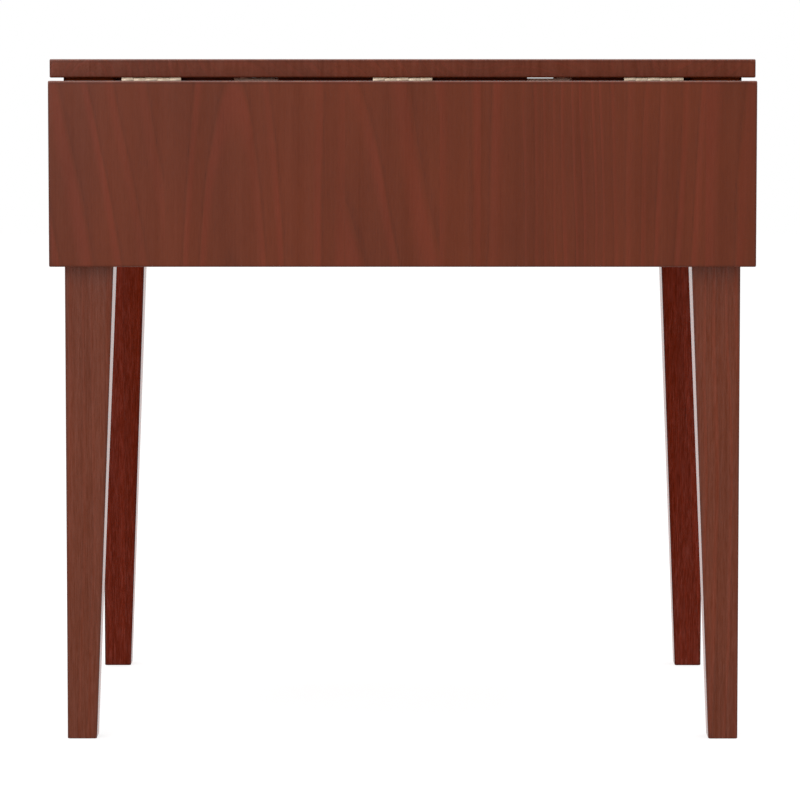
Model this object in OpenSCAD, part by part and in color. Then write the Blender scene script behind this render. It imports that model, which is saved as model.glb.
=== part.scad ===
// Drop-leaf dining table: a fixed top on four tapered legs, a leaf hinged to its front
// edge and one to its back edge, and four pull-out supports that hold the leaves level.
// The leaves hang. The origin is on the floor under the middle of the table,
// with +X to the right, +Y to the back and +Z up.

/* [Top] */
// Width of the top and the leaves, left to right
top_w = 762; // [680:1:1000]
// Depth of the fixed top, front to back
top_d = 610; // [560:1:800]
// Thickness of the fixed top and the leaves
top_t = 20; // [18:0.5:26]
// Height of the table's upper face above the floor
table_h = 741.5; // [680:0.5:800]
// Radius of the eased edges of the top and the leaves
edge_r = 1.5; // [0.5:0.1:3]

/* [Leaves] */
// Length by which a raised leaf lengthens the table
leaf_l = 200; // [160:1:260]
// Gap between the edge of the top and a raised leaf
joint_gap = 1; // [0.8:0.1:2]

/* [Legs] */
// Side of the square leg where it meets the top
leg_top = 57; // [52:0.5:70]
// Side of the square leg at the floor
leg_foot = 32; // [24:0.5:50]
// Overhang of the top past the legs at the left and the right
side_overhang = 14.4; // [5:0.1:25]
// Overhang of the top past the legs at the front and the back
end_overhang = 8; // [6:0.5:15]
// Width of the flat planed on the leg's inner corner for the corner block
leg_flat = 12; // [8:0.5:16]
// Radius of the eased edges of the legs and the aprons
frame_edge_r = 1.5; // [0.5:0.1:3]

/* [Aprons] */
// Height of the aprons, below which the legs taper
apron_h = 100; // [90:1:120]
// Thickness of the aprons
apron_t = 20; // [18:0.5:24]
// Distance by which an apron stands back from the face of the leg
apron_inset = 8; // [6:0.5:12]
// Length of the tenons at the ends of an apron
tenon_l = 20; // [12:0.5:22]
// Thickness of the tenons
tenon_t = 8; // [6:0.5:10]
// Shoulder above and below a tenon
tenon_shoulder = 14; // [8:0.5:20]
// Clearance between a tenon and its mortise
tenon_gap = 0.1; // [0.05:0.01:0.3]

/* [Corner blocks] */
// Thickness of a corner block, along its bolts
block_t = 22; // [18:0.5:28]
// Height of a corner block
block_h = 76; // [70:1:86]
// Height from the middle of a corner block to each of its two bolts
bolt_rise = 18; // [14:0.5:22]
// Height from the middle of a corner block to its screws
block_screw_rise = 28; // [26:0.5:30]
// Depth of wood left under the head of a corner block's screw
block_seat = 8; // [6:0.5:10]

/* [Leaf supports] */
// Width of a support
support_w = 44; // [36:0.5:50]
// Height of a support
support_h = 22; // [20:0.5:26]
// Distance from the inner face of a leg to the middle of the support beside it
support_leg_x = 150.2; // [140:0.1:165]
// Radius of the eased edges of a support
support_edge_r = 1; // [0.5:0.1:2]
// Gap between the top and a support
support_gap = 1; // [0.6:0.1:1.5]
// Gap between the top and the support at the back left, which is a thicker one
thick_support_gap = 0.3; // [0.2:0.05:0.5]
// Gap on either side of a support in its notch
notch_gap = 2.45; // [1:0.05:4]
// Gap under a support in its notch and in its guide
slide_gap = 0.3; // [0.2:0.05:0.5]
// Gap between the inner ends of two supports in line
end_gap = 1; // [0.5:0.1:3]
// Radius of the finger groove under a support
groove_r = 6; // [4:0.5:8]
// Distance from a support's outer end to its finger groove
groove_y = 40; // [36:1:60]

/* [Support guides] */
// Distance from the inner face of a leg, front to back, to the outer face of a guide
guide_leg_y = 100; // [90:1:110]
// Length of a guide along its support
guide_l = 30; // [24:1:36]
// Width of each cheek of a guide
cheek_w = 14; // [12:0.5:18]
// Gap on either side of a support in its guide
cheek_gap = 1; // [0.5:0.1:1.5]
// Thickness of the bar under a support
guide_bar_t = 10; // [8:0.5:14]
// Depth of the counterbore for the head of a guide's screw
guide_sink = 12; // [8:0.5:16]

/* [Stop pegs] */
// Radius of a stop peg
peg_r = 4; // [3:0.5:5]
// Depth of a stop peg in its support
peg_depth = 12; // [10:0.5:14]
// Length of a stop peg below its support
peg_drop = 9; // [6:0.5:10]

/* [Hinges] */
// Length of a hinge along the joint
hinge_l = 64; // [56:1:80]
// Gap along the joint between an outer hinge and the leg beside it
hinge_leg_gap = 6.6; // [2:0.1:30]
// Width of a hinge's flap on the leaf, from its pin
leaf_flap_w = 32; // [30:0.5:40]
// Gap between a hinge's flap on the top and the apron behind it
flap_gap = 1; // [0.5:0.1:2]
// Thickness of a hinge flap
flap_t = 1.5; // [1.2:0.1:1.8]
// Radius of the outer corners of a hinge flap
flap_corner_r = 3; // [1:0.5:5]
// Radius of the hinge pin
pin_r = 1.25; // [1:0.05:1.4]
// Radius of the hinge's knuckles
knuckle_r = 2.5; // [2.4:0.05:3]
// Number of knuckles of a hinge, shared by its two flaps
knuckles = 5; // [3:2:7]
// Gap between neighbouring knuckles
knuckle_gap = 0.4; // [0.3:0.05:0.6]
// Clearance between the pin and the bore of a knuckle
pin_clearance = 0.05; // [0.03:0.01:0.08]
// Clearance between a turning knuckle and everything round it
swing_gap = 0.3; // [0.3:0.05:0.6]
// Distance from the middle of a flap to its outer screws, along the joint
flap_screw_x = 22; // [16:0.5:24]
// Distance from the pin to the outer screws of the leaf's flap
flap_screw_near = 13; // [10:0.5:14]
// Distance from the pin to the middle screw of the leaf's flap
flap_screw_far = 24; // [20:0.5:26]

/* [Fasteners] */
// Radius of a hinge screw
flap_screw_r = 1.75; // [1.5:0.05:2]
// Length of a hinge screw
flap_screw_l = 16; // [12:0.5:17]
// Radius of the other wood screws
screw_r = 2; // [1.75:0.05:2.25]
// Radius of the head of the other wood screws
screw_head_r = 4; // [3.5:0.1:4.2]
// Height of the head of the other wood screws
screw_head_h = 2.5; // [2:0.1:3]
// Depth to which a screw enters the top or an apron
screw_bite = 12; // [9:0.5:14]
// Angle of the screws that hold the top, from the upright
pocket_angle = 15; // [12:0.5:16]
// Distance along a slanting screw from the top to its head
pocket_seat = 22; // [18:0.5:26]
// Clearance between a screw's head and its counterbore
head_gap = 0.75; // [0.5:0.05:1]
// Distance from the middle of a front or back apron to its inner slanting screws
apron_screw_in = 70; // [40:1:90]
// Distance from the inner face of a leg to the outer slanting screw of a front or back apron
apron_screw_leg_x = 84.6; // [75:0.1:95]
// Distance from the inner face of a leg to the slanting screw of a side apron
apron_screw_leg_y = 130; // [100:1:150]
// Radius of a hanger bolt
bolt_r = 4; // [3:0.5:5]
// Depth to which a hanger bolt enters its leg
bolt_bite = 40; // [30:1:45]
// Length of a hanger bolt past its nut
bolt_tail = 4; // [2:0.5:8]
// Clearance between a hanger bolt and its hole in the corner block
bolt_gap = 0.5; // [0.3:0.1:1]
// Radius of a washer
washer_r = 10; // [9:0.5:12]
// Thickness of a washer
washer_t = 1.6; // [1:0.1:2]
// Width across the flats of a nut
nut_w = 13; // [12:0.5:16]
// Height of a nut
nut_h = 6.5; // [5:0.5:8]
// Clearance between a thread and what it is screwed into
thread_gap = 0.05; // [0.03:0.01:0.1]

/* [Hidden] */
$fn = 48;
// Overlap that makes a cut run clean through a face
cut = 1;
nut_sides = 6;

wood = "#6b3a2c";
leg_wood = "#70402f";
inner_wood = "#8a5a41";
hinge_metal = "#b8a184";
steel = "#9c9c98";

// Heights
underside_z = table_h - top_t;
apron_z = underside_z - apron_h;
block_z = apron_z + apron_h / 2;

// Outer faces of the legs, and inner faces of their square tops
leg_x = top_w / 2 - side_overhang;
leg_y = top_d / 2 - end_overhang;
leg_in_x = leg_x - leg_top;
leg_in_y = leg_y - leg_top;

// Outer and inner faces of the aprons
apron_out_x = leg_x - apron_inset;
apron_out_y = leg_y - apron_inset;
apron_in_x = apron_out_x - apron_t;
apron_in_y = apron_out_y - apron_t;
tenon_h = apron_h - 2 * tenon_shoulder;

// A corner block is laid out from the corner where the inner faces of two aprons would
// meet. Its faces are planes on which the distances from the two aprons add up to one value.
leg_corner = apron_in_x - leg_in_x + apron_in_y - leg_in_y;
block_near = leg_corner - leg_flat / sqrt(2);
block_far = block_near + block_t * sqrt(2);
block_screw_at = (block_near + block_far) / 2;
bolt_l = bolt_bite + block_t + washer_t + nut_h + bolt_tail;
block_seat_l = block_seat + screw_bite;

// Leaf supports, their notches and guides
support_x = leg_in_x - support_leg_x;
guide_y = leg_in_y - guide_leg_y;
support_top_z = underside_z - support_gap;
support_z = support_top_z - support_h;
notch_w = support_w + 2 * notch_gap;
guide_w = support_w + 2 * cheek_gap + 2 * cheek_w;
guide_z = support_z - slide_gap - guide_bar_t;
guide_screw_x = support_w / 2 + cheek_gap + cheek_w / 2;
peg_y = guide_y + slide_gap + peg_r;

// A pin lies below the joint, as deep as its knuckles need to turn free of the wood
pin_drop = knuckle_r + swing_gap;
pin_y = top_d / 2 + joint_gap / 2;
pin_z = underside_z - pin_drop;
hinge_pitch = leg_in_x - hinge_leg_gap - hinge_l / 2;
knuckle_l = (hinge_l - (knuckles - 1) * knuckle_gap) / knuckles;
flap_head_r = flap_screw_r + flap_t;

// The top's flaps fill the room between the pin and the apron, with their screws in one row
top_flap_w = pin_y - apron_out_y - flap_gap;
top_screw_row = (knuckle_r + swing_gap + top_flap_w) / 2;
top_screw_plan = [for (x = [-flap_screw_x, 0, flap_screw_x]) [x, top_screw_row]];
leaf_screw_plan = [[-flap_screw_x, flap_screw_near], [0, flap_screw_far], [flap_screw_x, flap_screw_near]];

// Places of what repeats
sides = [-1, 1];
hinge_places = [-hinge_pitch, 0, hinge_pitch];
apron_screw_out = leg_in_x - apron_screw_leg_x;
apron_screws = [-apron_screw_out, -apron_screw_in, apron_screw_in, apron_screw_out];
apron_screw_side = leg_in_y - apron_screw_leg_y;

// Shared shapes

// Rectangle with rounded corners, its lower left corner at the origin
module eased_rect(w, h, r) {
    translate([r, 0]) square([w - 2 * r, h]);
    translate([0, r]) square([w, h - 2 * r]);
    for (x = [r, w - r], y = [r, h - r]) translate([x, y]) circle(r);
}

// The same with only its two lower corners rounded
module foot_eased_rect(w, h, r) {
    eased_rect(w, h, r);
    translate([0, r]) square([w, h - r]);
}

// Board with eased edges, centred in x, its face at z = 0 and one edge at y = 0
module eased_board(w, d, t, r) {
    intersection() {
        rotate([90, 0, 90]) linear_extrude(w, center = true) eased_rect(d, t, r);
        translate([-w / 2, d, 0]) rotate([90, 0, 0]) linear_extrude(d) eased_rect(w, t, r);
    }
}

// Countersunk screw that points up from z = 0, where its head is; grown by a clearance, it is the hole
module flat_screw(grow = 0) {
    cylinder(h = flap_t, r1 = flap_head_r + grow, r2 = flap_screw_r + grow);
    cylinder(h = flap_screw_l + grow, r = flap_screw_r + grow);
}

// Pan-head screw of a given length under its head, which hangs below z = 0
module pan_screw(l) {
    cylinder(h = l, r = screw_r);
    translate([0, 0, -screw_head_h]) cylinder(h = screw_head_h, r = screw_head_r);
}

// Hole for a pan-head screw: a bore up from z = 0 and a counterbore of a given depth below it
module pan_screw_hole(l, sink) {
    translate([0, 0, -cut]) cylinder(h = l + cut + thread_gap, r = screw_r + thread_gap);
    translate([0, 0, -sink]) cylinder(h = sink, r = screw_head_r + head_gap);
}

// Puts a shape made for the back right corner at another corner
module at_corner(side_x, side_y) {
    mirror([side_x < 0 ? 1 : 0, 0, 0]) mirror([0, side_y < 0 ? 1 : 0, 0]) children();
}

// Joints between the top and the leaves

// Frame of a joint: x along the pin, y outward, z up
module at_joint(side_y) {
    translate([0, side_y * pin_y, pin_z]) mirror([0, side_y < 0 ? 1 : 0, 0]) children();
}

// Frame of a leaf that hangs: what is made for a raised leaf is turned down about the pin
module at_leaf(side_y) {
    at_joint(side_y) rotate([-90, 0, 0]) children();
}

// Frame of the top's half of a joint, with y inward
module at_top_edge(side_y) {
    at_joint(side_y) mirror([0, 1, 0]) children();
}

// Screws, or their holes, of one hinge flap that reaches along +y from the pin
module flap_screw_set(plan, grow = 0) {
    for (p = plan)
        translate([p[0], p[1], pin_drop - flap_t]) flat_screw(grow);
}

// All the screws, or their holes, along one edge of the top or a leaf
module edge_screw_set(plan, grow = 0) {
    for (x = hinge_places) translate([x, 0, 0]) flap_screw_set(plan, grow);
}

// Start of a knuckle along the pin, counted from 0
function knuckle_x(i) = -hinge_l / 2 + i * (knuckle_l + knuckle_gap);

// Hinge flap along +y from the pin, with every second knuckle from the first one given
module flap(first, width, plan) {
    own = [for (i = [first : 2 : knuckles - 1]) i];
    others = [for (i = [1 - first : 2 : knuckles - 1]) i];
    color(hinge_metal) difference() {
        union() {
            difference() {
                translate([hinge_l / 2, width, pin_drop - flap_t]) rotate(180) linear_extrude(flap_t)
                    foot_eased_rect(hinge_l, width, flap_corner_r);
                for (i = others) translate([knuckle_x(i) - knuckle_gap, -cut, -knuckle_r])
                    cube([knuckle_l + 2 * knuckle_gap, knuckle_r + swing_gap + cut, 2 * knuckle_r + cut]);
            }
            for (i = own) translate([knuckle_x(i), 0, 0]) rotate([0, 90, 0])
                cylinder(h = knuckle_l, r = knuckle_r);
        }
        translate([-hinge_l / 2 - cut, 0, 0]) rotate([0, 90, 0])
            cylinder(h = hinge_l + 2 * cut, r = pin_r + pin_clearance);
        flap_screw_set(plan, thread_gap);
    }
}

module top_flap(side_y, x) { at_top_edge(side_y) translate([x, 0, 0]) flap(0, top_flap_w, top_screw_plan); }

module leaf_flap(side_y, x) { at_leaf(side_y) translate([x, 0, 0]) flap(1, leaf_flap_w, leaf_screw_plan); }

module hinge_pins() {
    color(hinge_metal) for (side_y = sides, x = hinge_places)
        at_joint(side_y) translate([x - hinge_l / 2, 0, 0]) rotate([0, 90, 0])
            cylinder(h = hinge_l, r = pin_r);
}

module top_flap_screws() {
    color(hinge_metal) for (side_y = sides) at_top_edge(side_y) edge_screw_set(top_screw_plan);
}

module leaf_screws(side_y) {
    color(hinge_metal) at_leaf(side_y) edge_screw_set(leaf_screw_plan);
}

// Boards of the top

module leaf(side_y) {
    color(wood) at_leaf(side_y) difference() {
        translate([0, joint_gap / 2, pin_drop]) eased_board(top_w, leaf_l, top_t, edge_r);
        edge_screw_set(leaf_screw_plan, thread_gap);
    }
}

module top_panel() {
    color(wood) difference() {
        translate([0, -top_d / 2, underside_z]) eased_board(top_w, top_d, top_t, edge_r);
        for (side_y = sides) at_top_edge(side_y) edge_screw_set(top_screw_plan, thread_gap);
        top_screw_holes();
        guide_screw_holes();
    }
}

// Legs

// Outline of a leg from its outer corner: straight beside the apron, then tapered to the foot
leg_profile = [
    [0, 0], [-leg_foot, 0], [-leg_top, apron_z], [-leg_top, underside_z], [0, underside_z]
];

// Leg at the back right, tapered on its two inner faces, the edge between the outer faces eased
module leg_blank() {
    intersection() {
        translate([leg_x, leg_y, 0]) rotate([90, 0, 0]) linear_extrude(leg_top) polygon(leg_profile);
        translate([leg_in_x, leg_y, 0]) rotate([90, 0, 90]) linear_extrude(leg_top) polygon(leg_profile);
        translate([leg_in_x, leg_in_y, 0]) linear_extrude(underside_z)
            eased_rect(leg_top, leg_top, frame_edge_r);
    }
}

module leg(side_x, side_y) {
    color(leg_wood) at_corner(side_x, side_y) difference() {
        leg_blank();
        corner_flat();
        end_tenons(tenon_gap);
        side_tenons(tenon_gap);
        at_bolts() translate([0, 0, -bolt_bite - thread_gap])
            cylinder(h = bolt_bite + cut, r = bolt_r + thread_gap);
    }
}

// Aprons

// Tenon of the back apron that enters the leg at the back right, and its mortise
module end_tenons(grow = 0) {
    translate([leg_in_x - cut, (apron_out_y + apron_in_y - tenon_t) / 2 - grow, apron_z + tenon_shoulder - grow])
        cube([tenon_l + cut + grow, tenon_t + 2 * grow, tenon_h + 2 * grow]);
}

// Tenon of the right apron that enters the same leg, and its mortise
module side_tenons(grow = 0) {
    translate([(apron_out_x + apron_in_x - tenon_t) / 2 - grow, leg_in_y - cut, apron_z + tenon_shoulder - grow])
        cube([tenon_t + 2 * grow, tenon_l + cut + grow, tenon_h + 2 * grow]);
}

// Apron at the front or the back, with a notch for each of its two supports
module end_apron(side_y) {
    color(wood) mirror([0, side_y < 0 ? 1 : 0, 0]) difference() {
        union() {
            translate([0, apron_in_y, apron_z]) rotate([90, 0, 90])
                linear_extrude(2 * leg_in_x, center = true) foot_eased_rect(apron_t, apron_h, frame_edge_r);
            for (side_x = sides) at_corner(side_x, 1) end_tenons();
        }
        for (side_x = sides)
            translate([side_x * support_x - notch_w / 2, apron_in_y - cut, support_z - slide_gap])
                cube([notch_w, apron_t + 2 * cut, apron_h]);
        for (side_x = sides) at_corner(side_x, 1) block_end_screw_holes();
        for (x = apron_screws) at_end_pocket(x) pocket_hole();
    }
}

// Apron at the left or the right
module side_apron(side_x) {
    color(wood) mirror([side_x < 0 ? 1 : 0, 0, 0]) difference() {
        union() {
            translate([apron_in_x, 0, apron_z]) rotate([90, 0, 0])
                linear_extrude(2 * leg_in_y, center = true) foot_eased_rect(apron_t, apron_h, frame_edge_r);
            for (side_y = sides) at_corner(1, side_y) side_tenons();
        }
        for (side_y = sides) at_corner(1, side_y) block_side_screw_holes();
        for (side_y = sides) at_side_pocket(side_y * apron_screw_side) pocket_hole();
    }
}

// Slanting screws that hold the top, in pockets drilled from the inner faces of the aprons

// Slanting screw of the back apron: z along the screw and up, from the top's underside
module at_end_pocket(x) {
    translate([x, (apron_out_y + apron_in_y) / 2, underside_z]) rotate([-pocket_angle, 0, 0]) children();
}

// Slanting screw of the right apron
module at_side_pocket(y) {
    translate([(apron_out_x + apron_in_x) / 2, y, underside_z]) rotate([0, pocket_angle, 0]) children();
}

module pocket_screw() { translate([0, 0, -pocket_seat]) pan_screw(pocket_seat + screw_bite); }

module pocket_hole() {
    translate([0, 0, -pocket_seat]) pan_screw_hole(pocket_seat + screw_bite, apron_h);
}

// One child at every slanting screw
module at_every_pocket() {
    for (side_y = sides, x = apron_screws) mirror([0, side_y < 0 ? 1 : 0, 0]) at_end_pocket(x) children();
    for (side_x = sides, side_y = sides) mirror([side_x < 0 ? 1 : 0, 0, 0])
        at_side_pocket(side_y * apron_screw_side) children();
}

module top_screws() { color(steel) at_every_pocket() pocket_screw(); }

module top_screw_holes() {
    at_every_pocket() translate([0, 0, -pocket_seat])
        cylinder(h = pocket_seat + screw_bite + thread_gap, r = screw_r + thread_gap);
}

// Corner blocks and their bolts, made for the back right corner

// Frame of a corner block: distances from the right apron and from the back apron
module at_block() {
    translate([apron_in_x, apron_in_y, block_z]) rotate(180) children();
}

module corner_flat() {
    at_block() linear_extrude(block_h, center = true)
        polygon([[block_near, 0], [block_far, 0], [block_far, block_far], [0, block_far], [0, block_near]]);
}

// Hanger bolts of one block: z out of the leg, from the leg's flat
module at_bolts() {
    at_block() for (side_z = sides)
        translate([block_near / 2, block_near / 2, side_z * bolt_rise]) rotate([0, 90, 45]) children();
}

// Screws of one block into the back apron: z into the apron, from the head's seat
module at_end_screws() {
    at_block() for (side_z = sides)
        translate([block_screw_at, block_seat, side_z * block_screw_rise]) rotate([90, 0, 0]) children();
}

// Screws of one block into the right apron
module at_side_screws() {
    at_block() for (side_z = sides)
        translate([block_seat, block_screw_at, side_z * block_screw_rise]) rotate([0, -90, 0]) children();
}

module block_end_screw_holes() { at_end_screws() pan_screw_hole(block_seat_l, block_t); }

module block_side_screw_holes() { at_side_screws() pan_screw_hole(block_seat_l, block_t); }

module corner_block(side_x, side_y) {
    color(inner_wood) at_corner(side_x, side_y) difference() {
        at_block() linear_extrude(block_h, center = true)
            polygon([[block_near, 0], [block_far, 0], [0, block_far], [0, block_near]]);
        at_bolts() translate([0, 0, -cut]) cylinder(h = block_t + 2 * cut, r = bolt_r + bolt_gap);
        block_end_screw_holes();
        block_side_screw_holes();
    }
}

// One child at every corner
module at_every_corner() {
    for (side_x = sides, side_y = sides) at_corner(side_x, side_y) children();
}

module hanger_bolts() {
    color(steel) at_every_corner() at_bolts() translate([0, 0, -bolt_bite]) cylinder(h = bolt_l, r = bolt_r);
}

module bolt_washers() {
    color(steel) at_every_corner() at_bolts() translate([0, 0, block_t]) difference() {
        cylinder(h = washer_t, r = washer_r);
        translate([0, 0, -cut]) cylinder(h = washer_t + 2 * cut, r = bolt_r + bolt_gap);
    }
}

module bolt_nuts() {
    color(steel) at_every_corner() at_bolts() translate([0, 0, block_t + washer_t]) difference() {
        cylinder(h = nut_h, r = nut_w / sqrt(3), $fn = nut_sides);
        translate([0, 0, -cut]) cylinder(h = nut_h + 2 * cut, r = bolt_r + thread_gap);
    }
}

module block_screws() {
    color(steel) at_every_corner() {
        at_end_screws() pan_screw(block_seat_l);
        at_side_screws() pan_screw(block_seat_l);
    }
}

// Pull-out supports, made for the back right

module support(side_x, side_y, top_gap = support_gap) {
    color(inner_wood) at_corner(side_x, side_y) difference() {
        translate([support_x - support_w / 2, apron_out_y, support_z]) rotate([90, 0, 0])
            linear_extrude(apron_out_y - end_gap / 2)
                eased_rect(support_w, underside_z - top_gap - support_z, support_edge_r);
        translate([support_x - support_w / 2 - cut, apron_out_y - groove_y, support_z])
            rotate([0, 90, 0]) cylinder(h = support_w + 2 * cut, r = groove_r);
        translate([support_x, peg_y, support_z - cut])
            cylinder(h = peg_depth + cut + thread_gap, r = peg_r + thread_gap);
    }
}

module peg(side_x, side_y) {
    color(inner_wood) at_corner(side_x, side_y)
        translate([support_x, peg_y, support_z - peg_drop]) cylinder(h = peg_depth + peg_drop, r = peg_r);
}

// Guide that carries a support's inner half: two cheeks under the top and a bar between them
module guide(side_x, side_y) {
    color(inner_wood) at_corner(side_x, side_y) difference() {
        translate([support_x - guide_w / 2, guide_y - guide_l, guide_z])
            cube([guide_w, guide_l, underside_z - guide_z]);
        translate([support_x - support_w / 2 - cheek_gap, guide_y - guide_l - cut, support_z - slide_gap])
            cube([support_w + 2 * cheek_gap, guide_l + 2 * cut, underside_z]);
        at_guide_screws() pan_screw_hole(underside_z - guide_z - guide_sink + screw_bite, guide_sink + cut);
    }
}

// Screws of one guide: z up, from the head's seat
module at_guide_screws() {
    for (side = sides)
        translate([support_x + side * guide_screw_x, guide_y - guide_l / 2, guide_z + guide_sink]) children();
}

module guide_screws() {
    color(steel) at_every_corner() at_guide_screws()
        pan_screw(underside_z - guide_z - guide_sink + screw_bite);
}

module guide_screw_holes() {
    at_every_corner() at_guide_screws()
        cylinder(h = underside_z - guide_z - guide_sink + screw_bite + thread_gap, r = screw_r + thread_gap);
}

top_panel();
leaf(-1);  // front_leaf
leaf(1);  // back_leaf
leg(-1, -1);  // leg_front_left
leg(1, -1);  // leg_front_right
leg(-1, 1);  // leg_back_left
leg(1, 1);  // leg_back_right
end_apron(-1);  // apron_front
end_apron(1);  // apron_back
side_apron(-1);  // apron_left
side_apron(1);  // apron_right
corner_block(-1, -1);  // corner_block_front_left
corner_block(1, -1);  // corner_block_front_right
corner_block(-1, 1);  // corner_block_back_left
corner_block(1, 1);  // corner_block_back_right
hanger_bolts();
bolt_washers();
bolt_nuts();
block_screws();
top_screws();
guide(-1, -1);  // guide_front_left
guide(1, -1);  // guide_front_right
guide(-1, 1);  // guide_back_left
guide(1, 1);  // guide_back_right
guide_screws();
support(-1, -1);  // support_front_left
support(1, -1);  // support_front_right
support(-1, 1, thick_support_gap);  // support_back_left
support(1, 1);  // support_back_right
peg(-1, -1);  // peg_front_left
peg(1, -1);  // peg_front_right
peg(-1, 1);  // peg_back_left
peg(1, 1);  // peg_back_right
top_flap(-1, -hinge_pitch);  // top_flap_front_left
top_flap(-1, 0);  // top_flap_front_middle
top_flap(-1, hinge_pitch);  // top_flap_front_right
top_flap(1, -hinge_pitch);  // top_flap_back_left
top_flap(1, 0);  // top_flap_back_middle
top_flap(1, hinge_pitch);  // top_flap_back_right
leaf_flap(-1, -hinge_pitch);  // leaf_flap_front_left
leaf_flap(-1, 0);  // leaf_flap_front_middle
leaf_flap(-1, hinge_pitch);  // leaf_flap_front_right
leaf_flap(1, -hinge_pitch);  // leaf_flap_back_left
leaf_flap(1, 0);  // leaf_flap_back_middle
leaf_flap(1, hinge_pitch);  // leaf_flap_back_right
hinge_pins();
top_flap_screws();
leaf_screws(-1);  // front_leaf_screws
leaf_screws(1);  // back_leaf_screws
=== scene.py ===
"""Finishes, hardware, studio and camera of a small drop-leaf dining table.

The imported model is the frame, and every piece here lies where its CAD node lies. The boards and
the legs get meshes with eased and worn edges, the screws and bolts their recesses and threads.
Sizes are in millimetres in the classes and in metres in the meshes.
"""

import logging
import math
import random
from collections.abc import Callable, Iterable, Iterator, Sequence
from dataclasses import dataclass, field
from enum import Enum

import bmesh
import bpy
from bmesh.types import BMesh
from bpy.types import ID, Material, Node, NodeSocket, Object, World
from mathutils import Matrix, Vector


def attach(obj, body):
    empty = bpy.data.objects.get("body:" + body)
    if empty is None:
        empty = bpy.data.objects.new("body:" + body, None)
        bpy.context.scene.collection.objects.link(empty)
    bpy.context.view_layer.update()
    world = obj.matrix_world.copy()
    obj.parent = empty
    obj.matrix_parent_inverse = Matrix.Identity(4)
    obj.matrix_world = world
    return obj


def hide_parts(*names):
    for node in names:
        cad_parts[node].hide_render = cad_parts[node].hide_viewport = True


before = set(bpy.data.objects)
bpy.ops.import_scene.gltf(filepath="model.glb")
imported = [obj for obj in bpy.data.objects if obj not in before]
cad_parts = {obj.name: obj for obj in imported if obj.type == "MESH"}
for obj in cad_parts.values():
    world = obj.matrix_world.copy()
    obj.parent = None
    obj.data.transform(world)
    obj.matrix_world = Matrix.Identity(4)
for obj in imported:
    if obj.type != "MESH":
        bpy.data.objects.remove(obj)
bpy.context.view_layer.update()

MM = 0.001
# Angle from which an edge of a turned piece is a corner
CORNER = math.radians(32)
LOG = logging.getLogger("table")


# Choices among named options


class Side(Enum):
    """Front or back of the table, as the sign of its Y."""

    FRONT = -1
    BACK = 1


class End(Enum):
    """Left or right end of the table, as the sign of its X."""

    LEFT = -1
    RIGHT = 1


class Grain(Enum):
    """Which of X, Y and Z run along, across and through a board."""

    DEPTH = (1, 0, 2)
    HEIGHT = (2, 0, 1)
    WIDTH = (0, 2, 1)
    SIDE = (1, 2, 0)


CORNERS = [(end, side) for side in Side for end in End]


# Colours and node trees


def linear(colour: str) -> tuple[float, float, float, float]:
    """Turns an sRGB hex colour into the linear one that a shader takes.

    Args:
        colour: Colour such as "#6a321c".

    Returns:
        Red, green, blue and a full alpha.
    """
    parts = [int(colour[i : i + 2], 16) / 255 for i in (1, 3, 5)]
    red, green, blue = [c / 12.92 if c <= 0.04045 else ((c + 0.055) / 1.055) ** 2.4 for c in parts]
    return red, green, blue, 1.0


class Graph:
    """Node tree of a material or of the world, filled one node at a time."""

    def __init__(self, owner: Material | World) -> None:
        """Empties the owner's tree.

        Args:
            owner: Material or world that the tree belongs to.
        """
        owner.use_nodes = True
        self.tree = owner.node_tree
        self.tree.nodes.clear()

    def add(self, kind: str, links: dict[str | int, object] | None = None, **settings: object) -> Node:
        """Adds one node with its settings and links.

        Args:
            kind: Node type without "ShaderNode".
            links: For each input, by name or index, a socket, a node whose first output is
                meant, or a plain value.
            **settings: Attributes of the node, set before its inputs.

        Returns:
            The new node.
        """
        node = self.tree.nodes.new("ShaderNode" + kind)
        for name, value in settings.items():
            setattr(node, name, value)
        for key, value in (links or {}).items():
            socket = node.inputs[key] if isinstance(key, int) else next(
                s for s in node.inputs if s.enabled and s.name == key)
            if isinstance(value, Node):
                value = next(s for s in value.outputs if s.enabled)
            if isinstance(value, NodeSocket):
                self.tree.links.new(value, socket)
            else:
                socket.default_value = value
        return node


# Finishes

# Inputs of a ramp, in the order of the rows that give them: what it reads, where it starts and
# ends, and what it gives there
RAMP = ("Value", "From Min", "From Max", "To Min", "To Max")


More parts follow.
